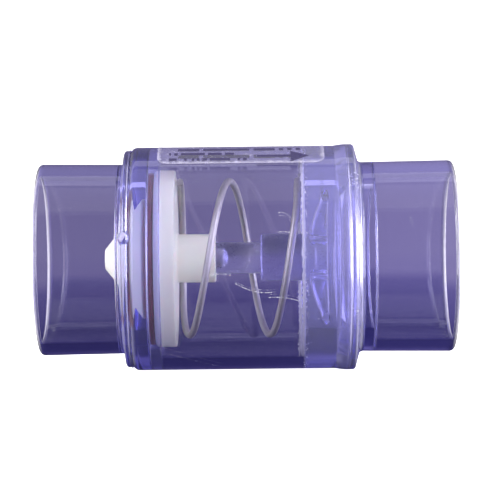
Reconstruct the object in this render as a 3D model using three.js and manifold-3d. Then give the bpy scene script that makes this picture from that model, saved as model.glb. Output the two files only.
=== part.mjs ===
// In-line spring check valve in clear PVC with solvent-weld socket ends for 2 inch (DN50) pipe.
// Millimetres. The valve's axis is X and water flows towards +X. The origin is the middle of the axis, +Z is up.
// Outlines are lists of [x, radius] that are turned about the X axis.

import * as THREE from 'three';
import { mergeVertices } from 'three/addons/utils/BufferGeometryUtils.js';
import Module from 'manifold-3d';

const wasm = await Module();
wasm.setup();

// ---------------------------------------------------------------- driving dimensions

const GAP = 0.3; // between two pieces that are glued, clamped or resting on each other
const ROUND_SEGMENTS = 36; // facets round the body and everything concentric with it
const SMALL_SEGMENTS = 20; // facets round the rod
const BEND_STEPS = 3; // facets in a rounded corner

const HALF_LENGTH = 74.6;
const SOCKET = {
  depth: 29.4,
  mouthBore: 30.32,
  rootBore: 30.08,
  mouthRadius: 34.5,
  rootRadius: 34.15,
  lipRound: 1.2,
  leadIn: 0.6,
};
const STOP_X = HALF_LENGTH - SOCKET.depth;
const PORT = { radius: 26, edge: 0.5 };

const BARREL = {
  radius: 40.2,
  bore: 36,
  inletEnd: -41.1,
  chamferDepth: 1.3,
  chamferRise: 1.6,
  flareStart: 31.5,
  flareEnd: 35,
  flareRadius: 40.7,
  cornerX: 38.9,
  cornerRound: 1.1,
  rootStart: 40,
  rootRound: 1.7,
  shoulderInside: 37,
  shoulderRound: 1.5,
};
const LIP = { front: -43.5, back: -41.4, radius: 39.1, round: 1, fillet: 1 };
const NUB = { x: -42.4, radius: 38, size: 2.3, angle: 11 };
const SEAT_X = -34.7;
const SKIRT = { end: -30.3, inner: 33 };

const GUIDE_RING = { front: 20.3, back: 33.2, backRound: 1.4 };
const BOSS = { front: 5.2, back: 29.1, radius: 8.5, drillDepth: 19.8, drillRadius: 5.9 };
const RIB = { count: 4, firstAngle: 45, thickness: 3, frontAtBoss: 22.5, frontAtRing: 27, back: 29.1 };

const ROD = { tip: -22, radius: 5.6, core: 2.4, coreEnd: -6.7, edge: 0.5 };

const DISC = { front: -32.6, back: -25.2, radius: 31.85, round: 1.6 };
const HUB = { end: -11, radius: 8.7, bore: 5.9 };
const NOSE = { tip: -51, tipRadius: 4, neckX: -45.6, neckRadius: 10.3, rimX: -36.4, rimRadius: 21.6 };
const NOSE_SPIGOT = { radius: 10, end: -30.5, holeEnd: -40.5 };
const SEAL = { front: -34.4, back: -32.9, inner: 12, outer: 31 };

const SPRING = {
  coilRadius: 27.7,
  wireRadius: 1.25,
  pitch: 28.9,
  bottomX: -21.1,
  inletTurn: 160,
  outletTurn: 104,
  easeTurn: 30,
  lean: 1.2,
};
const WIRE_SIDES = 8;
const WIRE_STEP_DEGREES = 12;

const LIP_BEAD = { front: -0.5, back: 0.4, depth: 0.35, height: 0.35 };
const GUIDE_BEAD = { length: 1.9, height: 1.1 };
const SKIRT_BEAD = { length: 0.7, height: 0.6 };

const LABEL = { start: -31.2, end: 28, front: 56, back: 128, corner: 4, inner: 40.5, thickness: 0.2 };

// ---------------------------------------------------------------- turning, joining and cutting

const radians = THREE.MathUtils.degToRad;

/** Points of a round corner about [centreX, centreRadius], from one direction to another in degrees. */
function bend(centreX, centreRadius, size, from, to) {
  const points = [];
  for (let step = 0; step <= BEND_STEPS; step += 1) {
    const angle = radians(from + ((to - from) * step) / BEND_STEPS);
    points.push([centreX + size * Math.cos(angle), centreRadius + size * Math.sin(angle)]);
  }
  return points;
}

/** Turns an outline about the X axis. The outline runs with the material on its right. */
function turned(outline, segments = ROUND_SEGMENTS) {
  const closed = outline[0][1] > 0 ? [...outline, outline[0]] : outline;
  const points = closed.map(([x, radius]) => new THREE.Vector2(radius, x));
  const geometry = new THREE.LatheGeometry(points, segments);
  geometry.rotateZ(-Math.PI / 2);
  return geometry;
}

/** Keeps only positions and merges the shared ones, so that the surface is closed. */
function welded(geometry) {
  geometry.deleteAttribute('normal');
  geometry.deleteAttribute('uv');
  return mergeVertices(geometry, 1e-4);
}

function solid(geometry) {
  const closed = welded(geometry);
  const vertProperties = new Float32Array(closed.attributes.position.array);
  const triVerts = new Uint32Array(closed.index.array);
  return new wasm.Manifold(new wasm.Mesh({ numProp: 3, vertProperties, triVerts }));
}

function geometryOf(body) {
  const mesh = body.getMesh();
  const geometry = new THREE.BufferGeometry();
  geometry.setAttribute('position', new THREE.BufferAttribute(new Float32Array(mesh.vertProperties), 3));
  geometry.setIndex(new THREE.BufferAttribute(new Uint32Array(mesh.triVerts), 1));
  return geometry;
}

// ---------------------------------------------------------------- materials

function material(color, roughness, metalness = 0) {
  return new THREE.MeshStandardMaterial({ color, roughness, metalness });
}

const clearPvc = material(0x9a94d0, 0.08);
const whitePvc = material(0xe9e8ec, 0.45);
const sealRubber = material(0x7a2430, 0.6);
const springSteel = material(0xb9b8c4, 0.25, 1);
const labelFilm = material(0xcfcbe2, 0.5);
const driedCement = material(0xe4e2f4, 0.6);

// ---------------------------------------------------------------- clear body

/** The outlet socket from its outer corner at the mouth, over its face and down its bore to the pipe stop. */
function socketOutline() {
  const rim = SOCKET.lipRound;
  return [
    ...bend(HALF_LENGTH - rim, SOCKET.mouthRadius - rim, rim, 90, 0),
    [HALF_LENGTH, SOCKET.mouthBore + SOCKET.leadIn],
    [HALF_LENGTH - SOCKET.leadIn, SOCKET.mouthBore],
    [STOP_X, SOCKET.rootBore],
    [STOP_X, PORT.radius],
  ];
}

/** Barrel with the outlet socket, joined by a slightly sloped flank with a concave root. */
function valveBody() {
  const { cornerRound, rootRound, shoulderRound } = BARREL;
  const rootX = BARREL.rootStart + rootRound;
  const outline = [
    [BARREL.inletEnd, BARREL.bore],
    [BARREL.inletEnd, BARREL.radius - BARREL.chamferRise],
    [BARREL.inletEnd + BARREL.chamferDepth, BARREL.radius],
    [BARREL.flareStart, BARREL.radius],
    [BARREL.flareEnd, BARREL.flareRadius],
    ...bend(BARREL.cornerX - cornerRound, BARREL.flareRadius - cornerRound, cornerRound, 90, 12),
    ...bend(rootX, SOCKET.rootRadius + rootRound, rootRound, -178, -92),
    ...socketOutline(),
    [BARREL.shoulderInside, PORT.radius],
    ...bend(BARREL.shoulderInside - shoulderRound, BARREL.bore - shoulderRound, shoulderRound, 0, 90),
  ];
  return turned(outline);
}

/** Small round mark that the moulding gate leaves on the lip's front edge. */
function gateNub() {
  const nub = new THREE.SphereGeometry(NUB.size, 14, 10);
  nub.translate(NUB.x, -NUB.radius, 0);
  nub.rotateX(-radians(NUB.angle));
  return nub;
}

function inletAdapter() {
  const spigot = BARREL.bore - GAP;
  const socket = socketOutline().map(([x, radius]) => [-x, radius]).reverse();
  const outline = [
    ...socket,
    ...bend(LIP.front - LIP.fillet, SOCKET.rootRadius + LIP.fillet, LIP.fillet, -90, 0),
    ...bend(LIP.front + LIP.round, LIP.radius - LIP.round, LIP.round, 180, 90),
    ...bend(LIP.back - LIP.round, LIP.radius - LIP.round, LIP.round, 90, 0),
    [LIP.back, spigot],
    [SKIRT.end, spigot],
    [SKIRT.end, SKIRT.inner],
    [SEAT_X, SKIRT.inner],
    [SEAT_X, PORT.radius + PORT.edge],
    [SEAT_X - PORT.edge, PORT.radius],
  ];
  const nubBack = LIP.back + LIP_BEAD.front - GAP;
  const nub = solid(gateNub()).trimByPlane([-1, 0, 0], -nubBack);
  return geometryOf(solid(turned(outline)).add(nub));
}

// ---------------------------------------------------------------- spring guide

/** One rib in the XZ plane, from inside the boss to inside the ring, with a bowed leading edge. */
function rib(angle) {
  const overlap = 1;
  const shape = new THREE.Shape();
  shape.moveTo(RIB.back, BOSS.radius - overlap);
  shape.lineTo(RIB.back, PORT.radius + overlap);
  shape.lineTo(RIB.frontAtRing, PORT.radius + overlap);
  shape.quadraticCurveTo(RIB.frontAtBoss, PORT.radius * 0.7, RIB.frontAtBoss, BOSS.radius - overlap);
  const geometry = new THREE.ExtrudeGeometry(shape, {
    depth: RIB.thickness,
    bevelEnabled: false,
    curveSegments: 5,
  });
  geometry.translate(0, 0, -RIB.thickness / 2);
  geometry.rotateX(radians(angle));
  return geometry;
}

function guideSpider() {
  const ringRadius = BARREL.bore - GAP;
  const corner = GUIDE_RING.backRound;
  const edge = 1.2;
  const ring = turned([
    [GUIDE_RING.front, PORT.radius],
    [GUIDE_RING.front, ringRadius],
    ...bend(GUIDE_RING.back - corner, ringRadius - corner, corner, 90, 0),
    ...bend(GUIDE_RING.back - corner, PORT.radius + corner, corner, 0, -90),
  ]);
  const boss = turned([
    [BOSS.front, 0],
    ...bend(BOSS.front + edge, BOSS.radius - edge, edge, 180, 90),
    [BOSS.back, BOSS.radius],
    [BOSS.back, 0],
  ]);
  const drilling = turned(
    [
      [BOSS.front - 1, 0],
      [BOSS.front - 1, BOSS.drillRadius],
      [BOSS.front + BOSS.drillDepth, BOSS.drillRadius],
      [BOSS.front + BOSS.drillDepth, 0],
    ],
    SMALL_SEGMENTS,
  );
  let spider = solid(ring).add(solid(boss));
  for (let index = 0; index < RIB.count; index += 1) {
    spider = spider.add(solid(rib(RIB.firstAngle + (360 * index) / RIB.count)));
  }
  return geometryOf(spider.subtract(solid(drilling)));
}

/** Rod glued into the boss, cored from its free tip. */
function guidePin() {
  const glued = BOSS.front + BOSS.drillDepth - GAP;
  const outline = [
    [ROD.coreEnd, 0],
    [ROD.coreEnd, ROD.core],
    [ROD.tip, ROD.core],
    [ROD.tip, ROD.radius - ROD.edge],
    [ROD.tip + ROD.edge, ROD.radius],
    [glued, ROD.radius],
    [glued, 0],
  ];
  return turned(outline, SMALL_SEGMENTS);
}

// ---------------------------------------------------------------- poppet

/** Disc and hub in one piece, bored for the rod and recessed in front for the nose's spigot. */
function poppetDisc() {
  const recess = NOSE_SPIGOT.radius + GAP;
  const recessEnd = NOSE_SPIGOT.end + GAP;
  const edge = 0.6;
  const outline = [
    [recessEnd, HUB.bore],
    [recessEnd, recess],
    [DISC.front, recess],
    ...bend(DISC.front + DISC.round, DISC.radius - DISC.round, DISC.round, 180, 90),
    ...bend(DISC.back - edge, DISC.radius - edge, edge, 90, 0),
    [DISC.back, HUB.radius],
    ...bend(HUB.end - edge, HUB.radius - edge, edge, 90, 0),
    [HUB.end, HUB.bore],
  ];
  return turned(outline);
}

/** Cone that leads the flow round the poppet and clamps the seal against the disc. */
function poppetNose() {
  const backFace = SEAL.front - GAP;
  const edge = 0.8;
  const outline = [
    [NOSE.tip, 0],
    ...bend(NOSE.tip + edge, NOSE.tipRadius - edge, edge, 180, 120),
    [NOSE.neckX, NOSE.neckRadius],
    ...bend(NOSE.rimX, NOSE.rimRadius - edge, edge, 130, 60),
    [backFace, NOSE.rimRadius - edge],
    [backFace, NOSE_SPIGOT.radius],
    [NOSE_SPIGOT.end, NOSE_SPIGOT.radius],
    [NOSE_SPIGOT.end, HUB.bore],
    [NOSE_SPIGOT.holeEnd, HUB.bore],
    [NOSE_SPIGOT.holeEnd, 0],
  ];
  return turned(outline);
}

function seatSeal() {
  return turned([
    [SEAL.front, SEAL.inner],
    [SEAL.front, SEAL.outer],
    [SEAL.back, SEAL.outer],
    [SEAL.back, SEAL.inner],
  ]);
}

// ---------------------------------------------------------------- spring

/** Left-handed coil with a flat part turn at each end. Angles run from the bottom towards -Y. */
class SpringPath extends THREE.Curve {
  constructor() {
    super();
    this.firstX = DISC.back + GAP + SPRING.wireRadius;
    this.lastX = GUIDE_RING.front - GAP - SPRING.wireRadius;
    this.activeStart = ((this.firstX - SPRING.bottomX) / SPRING.pitch) * 360;
    this.activeEnd = ((this.lastX - SPRING.bottomX) / SPRING.pitch) * 360;
    this.first = this.activeStart - SPRING.inletTurn;
    this.last = this.activeEnd + SPRING.outletTurn;
  }

  /** Height along X. The corner between flat turn and helix is eased, and the free turn leans at its top. */
  height(angle) {
    const ease = SPRING.easeTurn;
    const rise = (turn) => Math.max(0, turn) ** 2 / (4 * ease);
    const eased = (turn) => (turn > ease ? turn : rise(turn + ease));
    const climbed = eased(angle - this.activeStart) - eased(angle - this.activeEnd);
    const lean = angle > 0 && angle < 360 ? (SPRING.lean * (1 - Math.cos(radians(angle)))) / 2 : 0;
    return this.firstX + (climbed * SPRING.pitch) / 360 + lean;
  }

  getPoint(t, target = new THREE.Vector3()) {
    const angle = this.first + (this.last - this.first) * t;
    const turn = radians(angle);
    const radius = SPRING.coilRadius;
    return target.set(this.height(angle), -radius * Math.sin(turn), -radius * Math.cos(turn));
  }
}

function returnSpring() {
  const path = new SpringPath();
  const wire = new THREE.Shape();
  wire.absarc(0, 0, SPRING.wireRadius, 0, Math.PI * 2);
  return new THREE.ExtrudeGeometry(wire, {
    steps: Math.round((path.last - path.first) / WIRE_STEP_DEGREES),
    curveSegments: WIRE_SIDES / 2,
    bevelEnabled: false,
    extrudePath: path,
  });
}

// ---------------------------------------------------------------- cement and label

/** Cement in the groove between the lip's rounded edge and the barrel's chamfer. */
function lipCementBead() {
  const x = LIP.back;
  const radius = LIP.radius;
  return turned([
    [x, radius - LIP_BEAD.depth],
    [x + LIP_BEAD.front, radius + LIP_BEAD.height / 2],
    [x, radius + LIP_BEAD.height],
    [x + LIP_BEAD.back, radius + LIP_BEAD.height / 2],
  ]);
}

/** Fillet of cement in the corner between the barrel's bore and the front of the guide's ring. */
function guideCementBead() {
  const wall = BARREL.bore - GAP;
  const face = GUIDE_RING.front - GAP;
  return turned([
    [face, wall - GUIDE_BEAD.height],
    [face - GUIDE_BEAD.length, wall],
    [face, wall],
  ]);
}

/** Hairline of cement where the skirt ends on the barrel's bore. */
function skirtCementBead() {
  const wall = BARREL.bore - GAP;
  const face = SKIRT.end + GAP;
  return turned([
    [face, wall - SKIRT_BEAD.height],
    [face, wall],
    [face + SKIRT_BEAD.length, wall],
  ]);
}

/** Film over the top of the barrel: a thin shell cut to a rectangle with round corners. */
function label() {
  const outer = LABEL.inner + LABEL.thickness;
  const shell = turned([
    [LABEL.start, LABEL.inner],
    [LABEL.start, outer],
    [LABEL.end, outer],
    [LABEL.end, LABEL.inner],
  ]);
  const nearY = -outer * Math.cos(radians(LABEL.front));
  const farY = -outer * Math.cos(radians(LABEL.back));
  const r = LABEL.corner;
  const sheet = new THREE.Shape();
  sheet.absarc(LABEL.end - r, farY - r, r, 0, Math.PI / 2);
  sheet.absarc(LABEL.start + r, farY - r, r, Math.PI / 2, Math.PI);
  sheet.absarc(LABEL.start + r, nearY + r, r, Math.PI, Math.PI * 1.5);
  sheet.absarc(LABEL.end - r, nearY + r, r, Math.PI * 1.5, Math.PI * 2);
  const prism = new THREE.ExtrudeGeometry(sheet, { depth: outer + 1, bevelEnabled: false, curveSegments: 6 });
  return geometryOf(solid(shell).intersect(solid(prism)));
}

// ---------------------------------------------------------------- assembly

const valve = new THREE.Group();

function place(name, geometry, look) {
  const mesh = new THREE.Mesh(geometry, look);
  mesh.name = name;
  valve.add(mesh);
}

place('valve_body', valveBody(), clearPvc);
place('inlet_adapter', inletAdapter(), clearPvc);
place('guide_spider', guideSpider(), clearPvc);
place('guide_pin', guidePin(), clearPvc);
place('poppet', poppetDisc(), whitePvc);
place('poppet_nose', poppetNose(), whitePvc);
place('seat_seal', seatSeal(), sealRubber);
place('return_spring', returnSpring(), springSteel);
place('label', label(), labelFilm);
place('lip_cement_bead', lipCementBead(), driedCement);
place('guide_cement_bead', guideCementBead(), driedCement);
place('skirt_cement_bead', skirtCementBead(), driedCement);

export default valve;
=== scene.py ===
"""Looks of the clear PVC spring check valve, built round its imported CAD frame.

Sizes are in millimetres and become metres when a mesh is made. The valve's axis is X, and an outline
is a list of (x, radius) points that is turned about it.
"""

import math
import random

import bmesh
import bpy
import numpy as np
from mathutils import Matrix, Vector, noise


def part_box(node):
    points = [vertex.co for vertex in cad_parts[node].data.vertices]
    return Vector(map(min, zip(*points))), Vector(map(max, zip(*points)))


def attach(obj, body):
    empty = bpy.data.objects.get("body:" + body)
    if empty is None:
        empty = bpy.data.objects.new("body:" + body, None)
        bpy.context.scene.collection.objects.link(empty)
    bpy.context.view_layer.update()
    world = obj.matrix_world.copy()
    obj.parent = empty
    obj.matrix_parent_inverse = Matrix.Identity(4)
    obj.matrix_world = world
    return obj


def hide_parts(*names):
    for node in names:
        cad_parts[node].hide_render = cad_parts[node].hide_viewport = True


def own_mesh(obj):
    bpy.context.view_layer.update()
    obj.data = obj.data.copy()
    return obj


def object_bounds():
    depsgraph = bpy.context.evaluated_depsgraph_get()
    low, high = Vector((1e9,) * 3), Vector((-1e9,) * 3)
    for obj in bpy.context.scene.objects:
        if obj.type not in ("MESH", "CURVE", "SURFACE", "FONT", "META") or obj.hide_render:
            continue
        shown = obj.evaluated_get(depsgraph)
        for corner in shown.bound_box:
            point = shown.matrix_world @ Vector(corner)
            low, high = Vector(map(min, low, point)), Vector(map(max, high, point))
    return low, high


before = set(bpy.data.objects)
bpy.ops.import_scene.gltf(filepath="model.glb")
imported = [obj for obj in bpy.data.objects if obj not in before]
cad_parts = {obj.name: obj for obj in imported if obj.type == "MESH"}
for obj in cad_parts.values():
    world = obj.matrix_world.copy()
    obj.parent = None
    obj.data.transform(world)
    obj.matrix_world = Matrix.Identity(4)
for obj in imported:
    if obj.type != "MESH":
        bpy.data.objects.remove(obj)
cad_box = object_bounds()

MM = 0.001
ROUND = 192  # facets round a turned piece
BOND_GAP = 0.04  # between two glued faces


def span(node):
    """Lowest and highest corner of a CAD node, in millimetres."""
    low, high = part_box(node)
    return Vector(low) / MM, Vector(high) / MM


# ---------------------------------------------------------------- sizes taken from the frame

body_high = span("valve_body")[1]
inlet_high = span("inlet_adapter")[1]
guide_low = span("guide_spider")[0]
rod_low, rod_high = span("guide_pin")
poppet_low, poppet_high = span("poppet")
nose_low = span("poppet_nose")[0]
seal_low, seal_high = span("seat_seal")
spring_low, spring_high = span("return_spring")
label_low, label_high = span("label")

END_X = body_high.x
SKIRT_END = inlet_high.x
GUIDE_BACK_X = 33.2
BOSS_X = guide_low.x

# ---------------------------------------------------------------- sizes inside the pieces

SOCKET_DEPTH = 29.4
MOUTH_BORE = 30.32
ROOT_BORE = 30.08
MOUTH_RADIUS = 34.5
ROOT_RADIUS = 34.15
PORT_RADIUS = 26.0
BARREL_RADIUS = 40.2
BORE = 36.0
FLARE_START = 31.5
FLARE_END = 35
FLARE_CORNER = 38.9
FLARE_RADIUS = 40.7
COLLAR_ROOT = 40
SHOULDER_X = 37.0
LIP_FRONT = -43.5
LIP_BACK = -41.4
LIP_RADIUS = 39.1
SEAT_X = -34.7
SKIRT_INNER = 33.0
NUB_RADIUS = 2.3
NUB_PLACE = (-42.4, -37.3, 7.25)
RING_FRONT = 20.3
RING_CORNER = 1.4
BOSS_RADIUS = 8.5
BOSS_BACK = 29.1
DRILLING_END = 25
RIB_FRONT = 22.5
RIB_RAKE = 4.5  # how much further back a rib starts at the ring than at the boss
ROD_RADIUS = 5.6
ROD_HOLE = 5.9
DISC_BACK = -25.2
HUB_RADIUS = 8.7
NECK_X = -45.6
NECK_RADIUS = 10.3
CONE_RADIUS = 21.0
SPIGOT_RADIUS = 10
SPIGOT_END = -30.5
CONE_HOLE_END = -40.5
SEAL_OUTER = 31
SEAL_INNER = 12


# ---------------------------------------------------------------- mesh helpers


def bend(x, radius, size, start, end, steps=8):
    """Points of a round corner about (x, radius), from one direction to another in degrees."""
    angles = [math.radians(start + (end - start) * i / steps) for i in range(steps + 1)]
    return [(x + size * math.cos(a), radius + size * math.sin(a)) for a in angles]


def refined(outline, closed, edge=0.12, longest=3.0):
    """Adds points near the ends of long stretches and along them, so smooth shading stays in the corners."""
    out = []
    count = len(outline) if closed else len(outline) - 1
    for i in range(count):
        a = Vector(outline[i])
        b = Vector(outline[(i + 1) % len(outline)])
        length = (b - a).length
        out.append(tuple(a))
        if length < 4 * edge:
            continue
        inner = length - 2 * edge
        steps = max(1, math.ceil(inner / longest))
        for s in range(steps + 1):
            out.append(tuple(a.lerp(b, (edge + inner * s / steps) / length)))
    if not closed:
        out.append(tuple(outline[-1]))
    return out


def new_object(name, mesh):
    piece = bpy.data.objects.new(name, mesh)
    bpy.context.scene.collection.objects.link(piece)
    return piece


def shade(mesh, sharp=38):
    """Smooth shading with sharp edges where faces meet at more than the given angle in degrees."""
    mesh.polygons.foreach_set("use_smooth", [True] * len(mesh.polygons))
    mesh.set_sharp_from_angle(angle=math.radians(sharp))
    mesh.update()


def turned_mesh(name, outline, segments=ROUND):
    """Turns an outline about the X axis. It closes on itself, or starts and ends on the axis."""
    solid_core = outline[0][1] < 1e-9
    points = refined(outline, closed=not solid_core)
    bm = bmesh.new()
    rings = []
    for x, radius in points:
        if radius < 1e-9:
            rings.append([bm.verts.new((x * MM, 0, 0))])
            continue
        ring = []
        for i in range(segments):
            angle = 2 * math.pi * i / segments
            ring.append(bm.verts.new((x * MM, radius * MM * math.cos(angle), radius * MM * math.sin(angle))))
        rings.append(ring)
    pairs = list(zip(rings, rings[1:]))
    if not solid_core:
        pairs.append((rings[-1], rings[0]))
    for a, b in pairs:
        for i in range(segments):
            j = (i + 1) % segments
            corners = [a[i % len(a)], a[j % len(a)], b[j % len(b)], b[i % len(b)]]
            face = list(dict.fromkeys(corners))
            if len(face) > 2:
                bm.faces.new(face)
    bmesh.ops.recalc_face_normals(bm, faces=bm.faces)
    mesh = bpy.data.meshes.new(name)
    bm.to_mesh(mesh)
    bm.free()
    shade(mesh)
    return mesh


def turned(name, outline, segments=ROUND):
    return new_object(name, turned_mesh(name, outline, segments))


def combined(base, others, operation):
    """Joins or cuts base with other objects, and deletes those."""
    for other in others:
        step = base.modifiers.new("step", "BOOLEAN")
        step.operation = operation
        step.solver = "EXACT"
        step.object = other
    bpy.context.view_layer.update()
    graph = bpy.context.evaluated_depsgraph_get()
    mesh = bpy.data.meshes.new_from_object(base.evaluated_get(graph))
    base.modifiers.clear()
    base.data = mesh
    for other in others:
        bpy.data.objects.remove(other)
    shade(mesh)
    return base


def mark_bonded(piece, zones):
    """Writes 1 on faces glued to a neighbour, where light passes without a surface, and 0 elsewhere."""
    mesh = piece.data
    centres = np.zeros(len(mesh.polygons) * 3)
    mesh.polygons.foreach_get("center", centres)
    centres = centres.reshape(-1, 3) / MM
    x = centres[:, 0]
    radius = np.hypot(centres[:, 1], centres[:, 2])
    bonded = np.zeros(len(x))
    for x0, x1, r0, r1 in zones:
        bonded[(x > x0) & (x < x1) & (radius > r0) & (radius < r1)] = 1
    attribute = mesh.attributes.new("bonded", "FLOAT", "FACE")
    attribute.data.foreach_set("value", bonded)


# ---------------------------------------------------------------- material helpers


class Nodes:
    """Short calls for building a node tree."""

    def __init__(self, name):
        self.material = bpy.data.materials.new(name)
        self.material.use_nodes = True
        self.tree = self.material.node_tree
        self.shader = self.tree.nodes["Principled BSDF"]
        self.output = self.tree.nodes["Material Output"]

    def add(self, kind, **values):
        node = self.tree.nodes.new(kind)
        for key, value in values.items():
            if hasattr(node, key):
                setattr(node, key, value)
            else:
                node.inputs[key.replace("_", " ")].default_value = value
        return node

    def link(self, source, target):
        self.tree.links.new(source, target)

    def set(self, **values):
        for key, value in values.items():
            self.shader.inputs[key.replace("_", " ")].default_value = value

    def math(self, operation, a, b=0.0, clamp=False):
        node = self.add("ShaderNodeMath", operation=operation)
        node.use_clamp = clamp
        for socket, value in zip(node.inputs, (a, b)):
            if isinstance(value, (int, float)):
                socket.default_value = value
            else:
                self.link(value, socket)
        return node.outputs[0]

    def coordinates(self, scale=(1, 1, 1)):
        """Object coordinates in millimetres, stretched by scale."""
        source = self.add("ShaderNodeTexCoord").outputs["Object"]
        mapping = self.add("ShaderNodeMapping")
        mapping.inputs["Scale"].default_value = [s / MM for s in scale]
        self.link(source, mapping.inputs["Vector"])
        return mapping.outputs["Vector"]

    def noise(self, size, detail=3.0, stretch=(1, 1, 1), roughness=0.55):
        """Fractal noise whose features are about size millimetres across."""
        node = self.add("ShaderNodeTexNoise")
        node.inputs["Scale"].default_value = 1 / size
        node.inputs["Detail"].default_value = detail
        node.inputs["Roughness"].default_value = roughness
        self.link(self.coordinates(stretch), node.inputs["Vector"])
        return node.outputs["Fac"]

    def ramp(self, factor, low, high, start=0.0, end=1.0):
        """Maps factor from low..high to start..end, held at both ends."""
        node = self.add("ShaderNodeMapRange")
        node.inputs["From Min"].default_value = low
        node.inputs["From Max"].default_value = high
        node.inputs["To Min"].default_value = start
        node.inputs["To Max"].default_value = end
        self.link(factor, node.inputs["Value"])
        return node.outputs["Result"]

    def band(self, value, low, high, soft):
        """1 between low and high, fading to 0 over soft on each side."""
        rise = self.ramp(value, low - soft, low, 0, 1)
        return self.math("MULTIPLY", rise, self.ramp(value, high, high + soft, 1, 0))

    def split(self):
        """Object coordinates in millimetres as x, y and z."""
        node = self.add("ShaderNodeSeparateXYZ")
        self.link(self.coordinates(), node.inputs[0])
        return node.outputs

    def colours(self, factor, first, second):
        node = self.add("ShaderNodeMix", data_type="RGBA")
        self.link(factor, node.inputs["Factor"])
        node.inputs["A"].default_value = (*first, 1)
        node.inputs["B"].default_value = (*second, 1)
        return node.outputs["Result"]

    def bump(self, height, strength, distance=0.1):
        node = self.add("ShaderNodeBump")
        node.inputs["Strength"].default_value = strength
        node.inputs["Distance"].default_value = distance * MM
        self.link(height, node.inputs["Height"])
        self.link(node.outputs["Normal"], self.shader.inputs["Normal"])


# Scratches on the outside: start and end along the axis, start and end as an angle from the front, and
# the bow between them. The last number is the half width in millimetres.
SCRATCHES = [
    (-3.9, 9.9, -12.5, -17.0, -2.0, 0.22),
    (7.4, 17.9, -20.0, -21.8, 0.8, 0.20),
    (11.3, 15.7, 22.7, 19.4, 1.5, 0.16),
    (11.0, 15.2, 12.7, 12.5, 0.3, 0.16),
    (-29.2, -9.4, -55.4, -73.8, 1.0, 0.07),
    (-64.7, -62.9, -14.6, -6.4, 0.5, 0.14),
    (-12.3, -5.5, -7.9, -8.3, 0.2, 0.14),
    (57.0, 58.2, 24.0, 20.0, 0.3, 0.14),
]


def handling_marks(m, x):
    """Fine scratches, each broken up by noise, and sparse specks of dust."""
    axes = m.split()
    angle = m.math("ARCTAN2", axes["Z"], m.math("MULTIPLY", axes["Y"], -1.0))
    degrees = m.math("MULTIPLY", angle, 180 / math.pi)
    total = None
    for x0, x1, a0, a1, bow, width in SCRATCHES:
        along = m.ramp(x, x0, x1)
        inside = m.band(x, x0, x1, 0.2)
        hump = m.math("MULTIPLY", m.math("MULTIPLY", along, m.math("SUBTRACT", 1.0, along)), 4 * bow)
        path = m.math("ADD", m.math("MULTIPLY", along, a1 - a0), m.math("ADD", hump, a0))
        away = m.math("ABSOLUTE", m.math("SUBTRACT", degrees, path))
        reach = width / BARREL_RADIUS * 180 / math.pi
        line = m.math("MULTIPLY", m.ramp(away, 0.4 * reach, reach, 1, 0), inside)
        total = line if total is None else m.math("MAXIMUM", total, line)
    broken = m.ramp(m.noise(0.8, 3), 0.4, 0.6, 0.15, 1)
    scratch = m.math("MULTIPLY", total, broken)
    cells = m.add("ShaderNodeTexVoronoi")
    cells.inputs["Scale"].default_value = 1 / 3.5
    m.link(m.coordinates(), cells.inputs["Vector"])
    speck = m.ramp(cells.outputs["Distance"], 0.03, 0.06, 1, 0)
    patch = m.ramp(m.noise(7, 2), 0.5, 0.6, 0, 0.5)
    return m.math("MAXIMUM", scratch, m.math("MULTIPLY", speck, patch))


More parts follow.
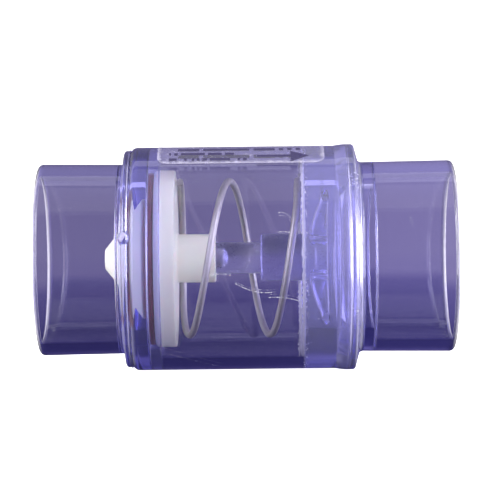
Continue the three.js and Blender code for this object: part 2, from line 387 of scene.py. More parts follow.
def clear_pvc():
    """Clear rigid PVC: violet in the bulk, hazier where it is thick, with faint waves and handling marks."""
    m = Nodes("clear_pvc")
    bonded = m.add("ShaderNodeAttribute", attribute_name="bonded").outputs["Fac"]
    free = m.ramp(bonded, 0, 1, 1, 0)
    x = m.split()["X"]
    inlet_thick = m.band(x, LIP_FRONT - 1, SKIRT_END, 0.4)
    outlet_thick = m.band(x, RING_FRONT, COLLAR_ROOT + 0.4, 0.4)
    thick = m.math("ADD", inlet_thick, outlet_thick, clamp=True)
    mark = handling_marks(m, x)
    tint = m.colours(thick, (0.92, 0.91, 0.975), (0.70, 0.69, 0.95))
    plain = m.add("ShaderNodeMix", data_type="RGBA")
    m.link(bonded, plain.inputs["Factor"])
    m.link(tint, plain.inputs["A"])
    plain.inputs["B"].default_value = (1, 1, 1, 1)
    m.link(plain.outputs["Result"], m.shader.inputs["Base Color"])
    rim = m.ramp(m.math("ABSOLUTE", x), END_X - 1.5, END_X - 1.0, 0, 1)
    cloud = m.math("ADD", m.ramp(inlet_thick, 0, 1, 0.002, 0.03), m.ramp(outlet_thick, 0, 1, 0, 0.08))
    cloud = m.math("ADD", cloud, m.math("MULTIPLY", rim, 0.05))
    veil = m.math("ADD", cloud, m.math("MULTIPLY", mark, 0.35))
    haze = m.math("MULTIPLY", free, veil)
    m.link(m.math("SUBTRACT", 1.0, haze), m.shader.inputs["Transmission Weight"])
    m.link(m.ramp(bonded, 0, 1, 1.53, 1.002), m.shader.inputs["IOR"])
    smear = m.ramp(m.noise(9, 4, (0.3, 1, 1)), 0.45, 0.75, 0.015, 0.06)
    axes = m.split()
    off_axis = m.math("SQRT", m.math("ADD", m.math("POWER", axes["Y"], 2.0), m.math("POWER", axes["Z"], 2.0)))
    near_axis = m.ramp(off_axis, BOSS_RADIUS + 0.1, BOSS_RADIUS + 0.5, 1, 0)
    turned_dull = m.math("MULTIPLY", near_axis, m.ramp(m.noise(0.6, 4), 0.35, 0.65, 0.2, 0.42))
    smear = m.math("ADD", m.math("ADD", smear, turned_dull), m.math("MULTIPLY", rim, 0.16))
    dull = m.math("ADD", smear, m.math("MULTIPLY", mark, 0.35))
    m.link(m.math("MULTIPLY", dull, free), m.shader.inputs["Roughness"])
    m.bump(m.noise(9, 2), 0.1, 0.02)
    volume = m.add("ShaderNodeVolumeAbsorption")
    volume.inputs["Color"].default_value = (0.18, 0.14, 0.84, 1)
    volume.inputs["Density"].default_value = 24
    m.link(volume.outputs["Volume"], m.output.inputs["Volume"])
    return m.material


def white_pvc():
    m = Nodes("white_pvc")
    m.link(m.colours(m.noise(6, 4), (0.88, 0.89, 0.76), (0.94, 0.95, 0.82)), m.shader.inputs["Base Color"])
    m.link(m.ramp(m.noise(3, 3), 0.3, 0.7, 0.34, 0.48), m.shader.inputs["Roughness"])
    m.set(Subsurface_Weight=0.15, Subsurface_Scale=0.003, IOR=1.53)
    m.bump(m.noise(0.7, 4), 0.12, 0.05)
    return m.material


def seal_rubber():
    m = Nodes("seal_rubber")
    colour = m.colours(m.noise(2, 4), (0.15, 0.010, 0.030), (0.24, 0.016, 0.048))
    m.link(colour, m.shader.inputs["Base Color"])
    m.link(m.ramp(m.noise(1, 3), 0.3, 0.7, 0.45, 0.65), m.shader.inputs["Roughness"])
    m.bump(m.noise(0.4, 3), 0.2, 0.05)
    return m.material


def spring_steel():
    m = Nodes("spring_steel")
    m.link(m.colours(m.noise(1.5, 4), (0.42, 0.40, 0.42), (0.54, 0.52, 0.53)), m.shader.inputs["Base Color"])
    m.set(Metallic=1.0)
    m.link(m.ramp(m.noise(0.5, 4), 0.3, 0.7, 0.42, 0.56), m.shader.inputs["Roughness"])
    m.bump(m.noise(0.25, 3), 0.15, 0.03)
    return m.material


def dried_cement():
    m = Nodes("dried_cement")
    m.link(m.colours(m.noise(0.8, 4), (0.78, 0.77, 0.88), (0.95, 0.95, 0.98)), m.shader.inputs["Base Color"])
    m.set(Transmission_Weight=0.2, IOR=1.5)
    m.link(m.ramp(m.noise(0.5, 3), 0.3, 0.7, 0.3, 0.6), m.shader.inputs["Roughness"])
    m.bump(m.noise(0.35, 3), 0.5, 0.1)
    return m.material


# Rows of printed bars: lowest and highest angle from the front, start and end along the axis, length of a
# cell, and a key that picks which cells are printed.
LABEL_ROWS = [
    (59.0, 61.6, -27, 0.5, 0.9, 3.0),
    (65.2, 68.4, -27, -4, 1.2, 40.0),
    (72, 76, -24, 20, 1.5, 90.0),
]


def label_film():
    """Thin clear film with a frosted, bubbly edge, three rows of plain printed bars and a flow arrow."""
    m = Nodes("label_film")
    x, y, z = (m.split()[axis] for axis in "XYZ")
    angle = m.math("MULTIPLY", m.math("ARCTAN2", z, m.math("MULTIPLY", y, -1.0)), 180 / math.pi)

    def row(low, high, start, end, pitch, key):
        """Bars of uneven length between two heights, given as angles from the front."""
        cell = m.math("FLOOR", m.math("DIVIDE", x, pitch))
        dice = m.add("ShaderNodeTexWhiteNoise", noise_dimensions="1D")
        m.link(m.math("ADD", cell, key), dice.inputs["W"])
        kept = m.math("GREATER_THAN", dice.outputs["Value"], 0.2)
        inside = m.math("MULTIPLY", m.band(angle, low, high, 0.3), m.band(x, start, end, 0.1))
        return m.math("MULTIPLY", inside, kept)

    shaft = m.math("MULTIPLY", m.band(angle, 62.3, 64.9, 0.2), m.band(x, 4, 16, 0.15))
    reach = m.math("MULTIPLY", m.math("SUBTRACT", 22.5, x), 0.95)
    away = m.math("ABSOLUTE", m.math("SUBTRACT", angle, 63.6))
    head = m.math("MULTIPLY", m.math("LESS_THAN", away, reach), m.band(x, 16, 23, 0.05))
    ink = m.math("MAXIMUM", shaft, head)
    for bars in [row(*sizes) for sizes in LABEL_ROWS]:
        ink = m.math("MAXIMUM", ink, bars)
    from_end = m.math("MINIMUM", m.math("SUBTRACT", x, label_low.x), m.math("SUBTRACT", label_high.x, x))
    from_front = m.math("MULTIPLY", m.math("SUBTRACT", angle, 56), 0.7)
    wander = m.ramp(m.noise(1.6, 4), 0.3, 0.7, -0.9, 0.9)
    margin = m.math("ADD", m.math("MINIMUM", from_end, from_front), wander)
    frost = m.ramp(margin, 0.0, 1.5, 0.34, 0.05)
    crease = m.ramp(m.noise(2.2, 5), 0.58, 0.72, 0, 0.15)
    cover = m.math("ADD", frost, crease, clamp=True)
    m.link(m.math("MAXIMUM", cover, ink), m.shader.inputs["Alpha"])
    paper = m.colours(m.noise(1.2, 5), (0.40, 0.38, 0.52), (0.62, 0.60, 0.72))
    printed = m.add("ShaderNodeMix", data_type="RGBA")
    m.link(ink, printed.inputs["Factor"])
    m.link(paper, printed.inputs["A"])
    printed.inputs["B"].default_value = (0.03, 0.025, 0.07, 1)
    m.link(printed.outputs["Result"], m.shader.inputs["Base Color"])
    m.link(m.ramp(m.noise(2.5, 4), 0.35, 0.7, 0.25, 0.55), m.shader.inputs["Roughness"])
    m.set(Specular_IOR_Level=0.25)
    m.bump(m.noise(1.6, 4), 0.4, 0.08)
    return m.material


CLEAR = clear_pvc()
WHITE = white_pvc()
SEAL = seal_rubber()
STEEL = spring_steel()
CEMENT = dried_cement()
FILM = label_film()

VALVE = "valve"
POPPET = "poppet"


def settle(piece, material, body, slot, *nodes):
    """Gives a piece its material and its body, and hides the CAD nodes that it stands for. The slot argument
    is not used.
    """
    piece.data.materials.clear()
    piece.data.materials.append(material)
    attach(piece, body)
    if nodes:
        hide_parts(*nodes)


# ---------------------------------------------------------------- clear pieces


def socket_outline():
    """The outlet socket from its outer corner at the mouth, over its face and down its bore to the stop."""
    rim = 1.8
    inner = 0.9
    stop = END_X - SOCKET_DEPTH
    return [
        *bend(END_X - rim, MOUTH_RADIUS - rim, rim, 90, 0),
        *bend(END_X - inner, MOUTH_BORE + inner, inner, 0, -90, 4),
        *bend(stop + inner, ROOT_BORE - inner, inner, 90, 180, 4),
        *bend(stop + inner, PORT_RADIUS + inner, inner, 180, 270, 4),
    ]


def barrel_and_outlet():
    corner = 1.1
    root = 1.7
    inside = 1.5
    start = LIP_BACK + BOND_GAP
    outline = [
        (start, BORE),
        *bend(start + 0.5, 38.4, 0.5, 180, 140, 3),
        *bend(start + 2.6, BARREL_RADIUS - 2.6, 2.6, 128, 90, 5),
        (FLARE_START, BARREL_RADIUS),
        (FLARE_START + 1.5, BARREL_RADIUS + 0.25),
        (FLARE_END, FLARE_RADIUS),
        *bend(FLARE_CORNER - corner, FLARE_RADIUS - corner, corner, 90, 12),
        *bend(COLLAR_ROOT + root, ROOT_RADIUS + root, root, -178, -92),
        *socket_outline(),
        *bend(SHOULDER_X + 0.6, PORT_RADIUS + 0.6, 0.6, -90, -180, 4),
        *bend(SHOULDER_X - inside, BORE - inside, inside, 0, 90),
        (GUIDE_BACK_X - RING_CORNER, BORE),
        (RING_FRONT + 0.3, BORE),
        (SKIRT_END - 0.2, BORE),
    ]
    piece = turned("barrel_and_outlet", outline)
    mark_bonded(
        piece,
        [
            (-42, -41.2, BORE - 0.5, 38.3),
            (LIP_BACK - 1, SKIRT_END - 0.2, BORE - 0.1, BORE + 0.1),
            (RING_FRONT + 0.3, GUIDE_BACK_X - RING_CORNER, BORE - 0.1, BORE + 0.1),
        ],
    )
    settle(piece, CLEAR, VALVE, "clear_pvc", "valve_body")


def inlet_end():
    round_ = 1.0
    spigot = BORE - BOND_GAP
    socket = [(-x, radius) for x, radius in socket_outline()][::-1]
    outline = [
        *socket,
        *bend(LIP_FRONT - 1, ROOT_RADIUS + 1, 1, -90, 0),
        *bend(LIP_FRONT + round_, LIP_RADIUS - round_, round_, 180, 90),
        *bend(LIP_BACK - round_, LIP_RADIUS - round_, round_, 90, 0),
        (LIP_BACK, spigot),
        *bend(SKIRT_END - 0.2, spigot - 0.2, 0.2, 90, 0, 3),
        *bend(SKIRT_END - 0.5, SKIRT_INNER + 0.5, 0.5, 0, -90, 4),
        *bend(SEAT_X + 0.4, SKIRT_INNER - 0.4, 0.4, 90, 180, 4),
        *bend(SEAT_X - 0.8, PORT_RADIUS + 0.8, 0.8, 0, -90, 5),
    ]
    piece = turned("inlet_end", outline)
    nub_mesh = bpy.data.meshes.new("nub")
    bm = bmesh.new()
    bmesh.ops.create_uvsphere(bm, u_segments=40, v_segments=28, radius=NUB_RADIUS * MM)
    bmesh.ops.scale(bm, vec=(0.98, 1, 1.12), verts=bm.verts)
    bm.to_mesh(nub_mesh)
    bm.free()
    nub = new_object("nub", nub_mesh)
    nub.location = [value * MM for value in NUB_PLACE]
    combined(piece, [nub], "UNION")
    mark_bonded(
        piece,
        [
            (-41.6, -41.2, spigot - 0.5, 38.3),
            (LIP_BACK - 1, SKIRT_END - 0.2, spigot - 0.1, spigot + 0.1),
        ],
    )
    settle(piece, CLEAR, VALVE, "clear_pvc", "inlet_adapter")


def rib_mesh(angle):
    """A rib from inside the boss to inside the ring, 3 mm thick with a rounded, bowed leading edge."""
    half = 1.5
    inner, outer = BOSS_RADIUS - 1, PORT_RADIUS + 1
    rows = 24
    bm = bmesh.new()
    sections = []
    for i in range(rows + 1):
        t = i / rows
        radius = inner + (outer - inner) * t
        front = RIB_FRONT + RIB_RAKE * t ** 2.2
        from_boss = (radius - BOSS_RADIUS) / 1.1
        from_ring = (radius - PORT_RADIUS) / 1.1
        width = half + 0.9 * (math.exp(-(from_boss ** 2)) + math.exp(-(from_ring ** 2)))
        section = []
        for k in range(13):
            a = math.pi * (0.5 + k / 12)
            section.append((front + half + half * math.cos(a), width * math.sin(a)))
        for k in range(7):
            a = math.pi * (-0.5 + k / 6)
            section.append((BOSS_BACK - 0.7 + 0.7 * math.cos(a), width * math.sin(a)))
        sections.append([bm.verts.new((x * MM, y * MM, radius * MM)) for x, y in section])
    count = len(sections[0])
    for a, b in zip(sections, sections[1:]):
        for i in range(count):
            j = (i + 1) % count
            bm.faces.new((a[i], a[j], b[j], b[i]))
    bm.faces.new(sections[0][::-1])
    bm.faces.new(sections[-1])
    bmesh.ops.rotate(bm, matrix=Matrix.Rotation(math.radians(angle), 3, "X"), verts=bm.verts)
    bmesh.ops.recalc_face_normals(bm, faces=bm.faces)
    mesh = bpy.data.meshes.new("rib")
    bm.to_mesh(mesh)
    bm.free()
    return mesh


def spring_guide():
    ring_radius = BORE - BOND_GAP
    corner = RING_CORNER
    ring = turned(
        "spring_guide",
        [
            *bend(RING_FRONT + 0.4, PORT_RADIUS + 0.4, 0.4, 270, 180, 4),
            *bend(RING_FRONT + 0.3, ring_radius - 0.3, 0.3, 180, 90, 3),
            *bend(GUIDE_BACK_X - corner, ring_radius - corner, corner, 90, 0),
            *bend(GUIDE_BACK_X - corner, PORT_RADIUS + corner, corner, 0, -90),
        ],
    )
    boss = turned(
        "boss",
        [
            (BOSS_X, 0),
            *bend(BOSS_X + 0.8, BOSS_RADIUS - 0.8, 0.8, 180, 90),
            *bend(BOSS_BACK - 0.8, BOSS_RADIUS - 0.8, 0.8, 90, 0),
            (BOSS_BACK, 0),
        ],
        96,
    )
    ribs = [new_object(f"rib_{i}", rib_mesh(45 + 90 * i)) for i in range(4)]
    drill = ROD_RADIUS + BOND_GAP
    drilling = turned(
        "drilling",
        [
            (BOSS_X - 1, 0),
            (BOSS_X - 1, drill),
            *bend(DRILLING_END - 0.5, drill - 0.5, 0.5, 90, 0, 4),
            (DRILLING_END, 0),
        ],
        96,
    )
    combined(ring, [boss, *ribs], "UNION")
    combined(ring, [drilling], "DIFFERENCE")
    mark_bonded(
        ring,
        [
            (RING_FRONT + 0.3, GUIDE_BACK_X - corner, ring_radius - 0.1, ring_radius + 0.1),
            (BOSS_X + 0.4, DRILLING_END - 0.4, drill - 0.1, drill + 0.1),
        ],
    )
    settle(ring, CLEAR, VALVE, "clear_pvc", "guide_spider")


def guide_rod():
    core = 2.4
    core_end = -6.7
    outline = [
        (core_end, 0),
        *bend(core_end - core, 0, core, 0, 90),
        *bend(rod_low.x + 0.3, core + 0.3, 0.3, 270, 180, 4),
        *bend(rod_low.x + 0.6, ROD_RADIUS - 0.6, 0.6, 180, 90),
        (BOSS_X + 0.4, ROD_RADIUS),
        *bend(rod_high.x - 0.4, ROD_RADIUS - 0.4, 0.4, 90, 0, 4),
        (rod_high.x, 0),
    ]
    piece = turned("guide_rod", outline, 96)
    mark_bonded(piece, [(BOSS_X + 0.4, rod_high.x - 0.4, ROD_RADIUS - 0.1, ROD_RADIUS + 0.1)])
    settle(piece, CLEAR, VALVE, "clear_pvc", "guide_pin")


# ---------------------------------------------------------------- poppet


def poppet_disc():
    front, back = poppet_low.x, poppet_high.x
    radius = poppet_high.z
    outline = [
        (-30.2, ROD_HOLE),
        (-30.2, NECK_RADIUS),
        (front, NECK_RADIUS),
        *bend(front + 1.5, radius - 1.5, 1.5, 180, 90, 12),
        *bend(DISC_BACK - 0.5, radius - 0.5, 0.5, 90, 0, 5),
        *bend(DISC_BACK + 0.8, HUB_RADIUS + 0.8, 0.8, 180, 270, 6),
        *bend(back - 0.6, HUB_RADIUS - 0.6, 0.6, 90, 0, 5),
        *bend(back - 0.4, ROD_HOLE + 0.4, 0.4, 0, -90, 4),
    ]
    settle(turned("poppet_disc", outline), WHITE, POPPET, "white_pvc", "poppet")


def poppet_cone():
    tip, back_face = nose_low.x, SEAT_X
    outline = [
        (tip, 0),
        *bend(tip + 0.9, 3.2, 0.9, 180, 131, 5),
        (NECK_X, NECK_RADIUS),
        *bend(-36.6, 20.7, 0.9, 131, 60, 6),
        (-35.6, CONE_RADIUS),
        (back_face, CONE_RADIUS),
        (back_face, SPIGOT_RADIUS),
        (SPIGOT_END, SPIGOT_RADIUS),
        (SPIGOT_END, ROD_HOLE),
        (CONE_HOLE_END, ROD_HOLE),
        (CONE_HOLE_END, 0),
    ]
    settle(turned("poppet_cone", outline), WHITE, POPPET, "white_pvc", "poppet_nose")


def seal_washer():
    outline = [
        *bend(seal_low.x + 0.25, SEAL_OUTER - 0.25, 0.25, 180, 90, 4),
        *bend(seal_high.x - 0.25, SEAL_OUTER - 0.25, 0.25, 90, 0, 4),
        (seal_high.x, SEAL_INNER),
        (seal_low.x, SEAL_INNER),
    ]
    settle(turned("seal_washer", outline), SEAL, POPPET, "seal_rubber", "seat_seal")


# ---------------------------------------------------------------- spring


def coil_spring():
    """Left-handed coil with a flat part turn at each end, swept as a round wire."""
    coil, wire, pitch, bottom = 27.7, 1.25, 28.9, -21.1
    first_x = spring_low.x + wire
    last_x = spring_high.x - wire
    active_start = (first_x - bottom) / pitch * 360
    active_end = (last_x - bottom) / pitch * 360
    inlet_turn = 160
    outlet_turn = 104
    lean = 1.2
    ease = 30
    step = 3
    sides = 20

    def eased(turn):
        return turn if turn > ease else max(0, turn + ease) ** 2 / (4 * ease)

    def point(angle):
        x = first_x + (eased(angle - active_start) - eased(angle - active_end)) * pitch / 360
        a = math.radians(angle)
        if 0 < angle < 360:
            x += lean * (1 - math.cos(a)) / 2
        return Vector((x, -coil * math.sin(a), -coil * math.cos(a)))

    first, last = active_start - inlet_turn, active_end + outlet_turn
    count = round((last - first) / step)
    bm = bmesh.new()
    rings = []
    for i in range(count + 1):
        angle = first + (last - first) * i / count
        centre = point(angle)
        along = (point(angle + 0.5) - point(angle - 0.5)).normalized()
        outward = Vector((0, centre.y, centre.z)).normalized()
        side = along.cross(outward).normalized()
        outward = side.cross(along)
        ring = []
        for k in range(sides):
            a = 2 * math.pi * k / sides
            ring.append(bm.verts.new((centre + wire * (math.cos(a) * outward + math.sin(a) * side)) * MM))
        rings.append(ring)
    for a, b in zip(rings, rings[1:]):
        for k in range(sides):
            j = (k + 1) % sides
            bm.faces.new((a[k], a[j], b[j], b[k]))
    bm.faces.new(rings[0][::-1])
    bm.faces.new(rings[-1])
    bmesh.ops.recalc_face_normals(bm, faces=bm.faces)
    mesh = bpy.data.meshes.new("coil_spring")
    bm.to_mesh(mesh)
    bm.free()
    shade(mesh)
    piece = new_object("coil_spring", mesh)
    settle(piece, STEEL, VALVE, "spring_steel", "return_spring")
    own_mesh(piece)


# ---------------------------------------------------------------- label and cement


def film_label():
    """Thin film bent round the barrel, with round corners and slightly lifted, wrinkled edges."""
    inner = BARREL_RADIUS + 0.03
    thickness = 0.12
    x0, x1 = label_low.x, label_high.x
    front = math.acos(-label_low.y / label_high.z)
    back = math.acos(-label_high.y / label_high.z)
    width, depth = x1 - x0, (back - front) * inner
    corner = 4
    columns, rows = 120, 90
    bm = bmesh.new()

    def place(u, v, lift):
        s = width * u - width / 2
        t = depth * v - depth / 2
        reach_s, reach_t = width / 2 - corner, depth / 2 - corner
        over_s, over_t = abs(s) - reach_s, abs(t) - reach_t
        if over_s > 0 and over_t > 0:
            square = max(over_s, over_t)
            length = math.hypot(over_s, over_t)
            s = math.copysign(reach_s + over_s * square / length, s)
            t = math.copysign(reach_t + over_t * square / length, t)
        edge = min(width / 2 - abs(s), depth / 2 - abs(t))
        ripple = noise.noise(Vector((s / 2.2, t / 2.2, 3.1)))
        wave = 0.22 * math.exp(-max(edge, 0) / 1.3) * (0.35 + 0.65 * abs(ripple))
        radius = inner + wave + lift
        angle = front + (t + depth / 2) / inner
        x = (x0 + x1) / 2 + s
        return Vector((x, -radius * math.cos(angle), radius * math.sin(angle))) * MM

    sheets = []
    for lift in (0, thickness):
        sheet = []
        for j in range(rows + 1):
            sheet.append([bm.verts.new(place(i / columns, j / rows, lift)) for i in range(columns + 1)])
        sheets.append(sheet)
    for sheet in sheets:
        for j in range(rows):
            for i in range(columns):
                bm.faces.new((sheet[j][i], sheet[j][i + 1], sheet[j + 1][i + 1], sheet[j + 1][i]))
    low, high = sheets
    border = [(0, i) for i in range(columns)] + [(j, columns) for j in range(rows)]
    border += [(rows, i) for i in range(columns, 0, -1)] + [(j, 0) for j in range(rows, 0, -1)]
    for (j, i), (q, p) in zip(border, border[1:] + border[:1]):
        bm.faces.new((low[j][i], low[q][p], high[q][p], high[j][i]))
    bmesh.ops.recalc_face_normals(bm, faces=bm.faces)
    mesh = bpy.data.meshes.new("film_label")
    bm.to_mesh(mesh)
    bm.free()
    shade(mesh)
    piece = new_object("film_label", mesh)
    settle(piece, FILM, VALVE, "label_film", "label")


def around(x, radius, degrees):
    """Point on a circle about the axis. The angle starts at the front and rises over the top."""
    a = math.radians(degrees)
    return Vector((x, -radius * math.cos(a), radius * math.sin(a)))


def uneven(x, degrees, size, key):
    """Noise from 0 to 1 on the bore's wall, with lumps of the given size."""
    value = noise.noise(around(x, BORE, degrees) / size + Vector((key, 0, 0)))
    return min(1, max(0, 0.5 + 0.9 * value))


def lumpy_bead(bm, right_x, wall, length, height, first, last, key):
    """Ragged bead on a wall: its left edge and its height wander round the bore."""
    step = 0.45
    count = round((last - first) / step)
    full = last - first >= 360
    rings = []
    for i in range(count + (0 if full else 1)):
        degrees = first + step * i
        reach = length * (0.6 + 0.4 * uneven(0, degrees, 1.1, key))
        rise = height * (0.35 + 0.65 * uneven(9, degrees, 0.7, key))
        if not full:
            taper = min(1, i / 12, (count - i) / 12) + 0.02
            reach, rise = reach * taper, rise * taper
        section = [
            (right_x, wall),
            (right_x, wall - 0.8 * rise),
            (right_x - 0.3 * reach, wall - rise),
            (right_x - 0.7 * reach, wall - 0.6 * rise),
            (right_x - reach, wall),
        ]
        rings.append([bm.verts.new(around(x, radius, degrees) * MM) for x, radius in section])
    pairs = list(zip(rings, rings[1:]))
    if full:
        pairs.append((rings[-1], rings[0]))
    else:
        bm.faces.new(rings[0])
        bm.faces.new(rings[-1][::-1])
    for a, b in pairs:
        for k in range(5):
            j = (k + 1) % 5
            bm.faces.new((a[k], a[j], b[j], b[k]))


def bubbles(bm, dice, count, x_range, radius, angle_range, sizes):
    """Scatters small balls over part of a cylinder. Their sizes lean towards the smaller ones."""
    ball = bmesh.new()
    bmesh.ops.create_icosphere(ball, subdivisions=2, radius=1)
    points = [v.co.copy() for v in ball.verts]
    faces = [[v.index for v in f.verts] for f in ball.faces]
    ball.free()
    for _ in range(count):
        centre = around(dice.uniform(*x_range), radius, dice.uniform(*angle_range))
        size = sizes[0] + (sizes[1] - sizes[0]) * dice.random() ** 2
        corners = [bm.verts.new((centre + size * point) * MM) for point in points]
        for face in faces:
            bm.faces.new([corners[i] for i in face])


def cement_object(name, bm):
    bmesh.ops.recalc_face_normals(bm, faces=bm.faces)
    mesh = bpy.data.meshes.new(name)
    bm.to_mesh(mesh)
    bm.free()
    shade(mesh, 60)
    return new_object(name, mesh)


def cement_pieces():
    dice = random.Random(5)
    wall = BORE - 0.05
    patch_x, patch_first, patch_last = 18.7, -72, -12
    lip = turned(
        "lip_cement",
        [(-41.36, 38.75), *bend(-41.45, 39.0, 0.32, 170, 20, 5)],
    )
    settle(lip, CLEAR, VALVE, "clear_pvc", "lip_cement_bead")

    bm = bmesh.new()
    lumpy_bead(bm, RING_FRONT + 0.25, wall, 1.5, 0.55, 0, 360, 4.0)
    lumpy_bead(bm, patch_x, wall, 0.55, 0.4, patch_first, patch_last, 8.0)
    bubbles(bm, dice, 420, (RING_FRONT - 0.2, RING_FRONT + 0.9), BORE - 0.02, (0, 360), (0.08, 0.3))
    bubbles(bm, dice, 260, (RING_FRONT + 0.9, RING_FRONT + 1.5), BORE - 0.02, (0, 360), (0.05, 0.14))
    bubbles(bm, dice, 60, (17.9, 18.6), wall - 0.1, (-72, -14), (0.08, 0.28))
    settle(cement_object("guide_cement", bm), CEMENT, VALVE, "dried_cement", "guide_cement_bead")

    bm = bmesh.new()
    lumpy_bead(bm, SKIRT_END + 0.2, wall, 0.16, 0.08, 0, 360, 12.0)
    settle(cement_object("skirt_cement", bm), CLEAR, VALVE, "clear_pvc", "skirt_cement_bead")

    bm = bmesh.new()
    bubbles(bm, dice, 26, (36.4, 39.4), FLARE_RADIUS - 1.3, (37, 48), (0.08, 0.3))
    bubbles(bm, dice, 1, (38.2, 38.4), FLARE_RADIUS - 0.7, (-28, -27.5), (0.45, 0.46))
    bubbles(bm, dice, 10, (36.6, 38.6), FLARE_RADIUS - 1.3, (-32, -26), (0.05, 0.14))
    bubbles(bm, dice, 30, (RING_FRONT, 30), BORE - 0.02, (0, 360), (0.06, 0.2))
    settle(cement_object("cement_specks", bm), CEMENT, VALVE, "dried_cement")


# ---------------------------------------------------------------- stage


def only_for_camera(item):
    item.visible_diffuse = False
    item.visible_glossy = False
    item.visible_transmission = False
    item.visible_volume_scatter = False
    item.visible_shadow = False


def pale_material(name, glow):
    m = Nodes(name)
    m.set(Base_Color=(0.9, 0.9, 0.9, 1), Roughness=0.8, Emission_Color=(1, 1, 1, 1), Emission_Strength=glow)
    return m.material


def stage():
    """Pale floor and a pale dome behind it. Both are for the camera alone."""
    floor_mesh = bpy.data.meshes.new("floor")
    bm = bmesh.new()
    bmesh.ops.create_circle(bm, cap_ends=True, segments=96, radius=3.5)
    bm.to_mesh(floor_mesh)
    bm.free()
    floor = new_object("floor", floor_mesh)
    floor.location.z = cad_box[0][2] - 0.0002
    floor.data.materials.append(pale_material("pale_floor", 1.0))
    dome_mesh = bpy.data.meshes.new("dome")
    bm = bmesh.new()
    bmesh.ops.create_icosphere(bm, subdivisions=4, radius=3.5)
    bm.to_mesh(dome_mesh)
    bm.free()
    dome = new_object("dome", dome_mesh)
    dome.data.materials.append(pale_material("pale_dome", 1.0))
    for item in (floor, dome):
        only_for_camera(item)


def softbox(name, place, size, energy):
    data = bpy.data.lights.new(name, "AREA")
    data.shape = "RECTANGLE"
    data.size, data.size_y = size
    data.energy = energy
    light = bpy.data.objects.new(name, data)
    bpy.context.scene.collection.objects.link(light)
    light.location = place
    light.rotation_euler = (-Vector(place)).to_track_quat("-Z", "Y").to_euler()
    light.visible_camera = False


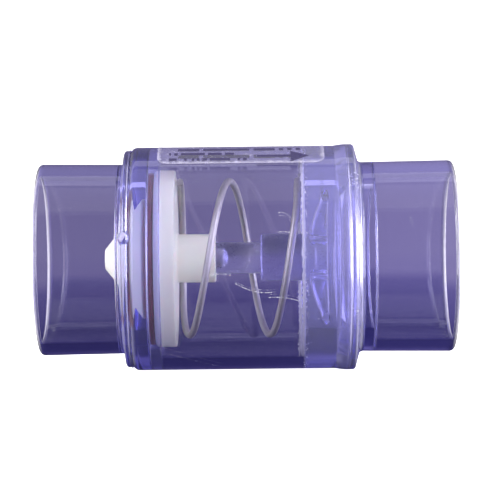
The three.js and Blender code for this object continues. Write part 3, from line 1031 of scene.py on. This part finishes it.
def surroundings():
    """A violet-grey room: lighter above the horizon than below on the far side, neutral on the near side,
    lighter towards the right, and lightest at both sides."""
    world = bpy.data.worlds.new("room")
    bpy.context.scene.world = world
    world.use_nodes = True
    tree = world.node_tree
    background = tree.nodes["Background"]
    direction = tree.nodes.new("ShaderNodeTexCoord").outputs["Generated"]
    split = tree.nodes.new("ShaderNodeSeparateXYZ")
    tree.links.new(direction, split.inputs[0])

    def ramp(value, low, high, stops):
        spread = tree.nodes.new("ShaderNodeMapRange")
        spread.inputs["From Min"].default_value = low
        spread.inputs["From Max"].default_value = high
        tree.links.new(value, spread.inputs["Value"])
        node = tree.nodes.new("ShaderNodeValToRGB")
        tree.links.new(spread.outputs["Result"], node.inputs["Fac"])
        elements = node.color_ramp.elements
        while len(elements) > 1:
            elements.remove(elements[-1])
        elements[0].position = (stops[0][0] - low) / (high - low)
        elements[0].color = (*stops[0][1], 1)
        for place, colour in stops[1:]:
            elements.new((place - low) / (high - low)).color = (*colour, 1)
        return node.outputs["Color"]

    far = ramp(
        split.outputs["Z"],
        -0.5,
        0.5,
        [
            (-0.50, (0.028, 0.024, 0.105)),
            (-0.20, (0.026, 0.022, 0.098)),
            (-0.06, (0.086, 0.073, 0.215)),
            (-0.038, (0.105, 0.090, 0.245)),
            (-0.023, (0.188, 0.165, 0.325)),
            (0.10, (0.195, 0.170, 0.325)),
            (0.50, (0.23, 0.21, 0.39)),
        ],
    )
    near = ramp(
        split.outputs["Z"],
        -0.8,
        0.9,
        [
            (-0.80, (0.03, 0.028, 0.08)),
            (-0.10, (0.10, 0.095, 0.14)),
            (0.10, (0.26, 0.25, 0.30)),
            (0.70, (0.26, 0.25, 0.30)),
            (0.90, (0.26, 0.25, 0.30)),
        ],
    )
    side = ramp(split.outputs["Y"], -0.3, 0.3, [(-0.3, (0, 0, 0)), (0.3, (1, 1, 1))])

    def mix(factor, first, second):
        node = tree.nodes.new("ShaderNodeMix")
        node.data_type = "RGBA"
        tree.links.new(factor, node.inputs["Factor"])
        tree.links.new(first, node.inputs["A"])
        if isinstance(second, tuple):
            node.inputs["B"].default_value = (*second, 1)
        else:
            tree.links.new(second, node.inputs["B"])
        return node.outputs["Result"]

    def slope(value, low, high, start, end):
        node = tree.nodes.new("ShaderNodeMapRange")
        for key, number in (("From Min", low), ("From Max", high), ("To Min", start), ("To Max", end)):
            node.inputs[key].default_value = number
        tree.links.new(value, node.inputs["Value"])
        return node.outputs["Result"]

    aside = tree.nodes.new("ShaderNodeMath")
    aside.operation = "ABSOLUTE"
    tree.links.new(split.outputs["X"], aside.inputs[0])
    room = mix(side, near, far)
    room = mix(slope(aside.outputs[0], 0.22, 0.6, 0, 1), room, (0.92, 0.90, 0.84))
    tree.links.new(room, background.inputs["Color"])
    tree.links.new(slope(split.outputs["X"], 0.0, 0.06, 1.04, 1.40), background.inputs["Strength"])


def lights():
    softbox("left_box", (-0.70, -0.62, 0.20), (0.8, 1.2), 9.5)
    softbox("right_box", (0.70, -0.62, 0.20), (0.8, 1.2), 16)
    softbox("high_left_box", (-0.60, -0.48, 0.62), (0.6, 0.6), 3.0)
    softbox("high_right_box", (0.60, -0.48, 0.62), (0.6, 0.6), 3.0)
    softbox("left_wall", (-0.8, 0.15, 0.05), (1.0, 0.5), 2.2)
    softbox("right_wall", (0.8, 0.15, 0.05), (1.0, 0.5), 7)
    softbox("top_box", (0, -0.12, 0.75), (1.6, 0.62), 1.3)
    softbox("back_strip", (0, 0.325, 0.75), (1.6, 0.15), 0.7)


def camera():
    """Side view from a distance with a long lens, turned slightly clockwise."""
    data = bpy.data.cameras.new("camera")
    data.lens = 171.6
    data.sensor_width = 36
    eye = bpy.data.objects.new("camera", data)
    bpy.context.scene.collection.objects.link(eye)
    eye.location = (1.3 * MM, -862 * MM, 2.8 * MM)
    eye.rotation_euler = (math.radians(90), math.radians(0.64), 0)
    data.clip_start = 0.01
    bpy.context.scene.camera = eye


def colour_and_bounces():
    scene = bpy.context.scene
    scene.view_settings.view_transform = "Standard"
    scene.cycles.max_bounces = 28
    scene.cycles.transmission_bounces = 28
    scene.cycles.glossy_bounces = 8
    scene.cycles.diffuse_bounces = 3


camera()
barrel_and_outlet()
inlet_end()
spring_guide()
guide_rod()
poppet_disc()
poppet_cone()
seal_washer()
coil_spring()
film_label()
cement_pieces()
stage()
surroundings()
lights()
colour_and_bounces()
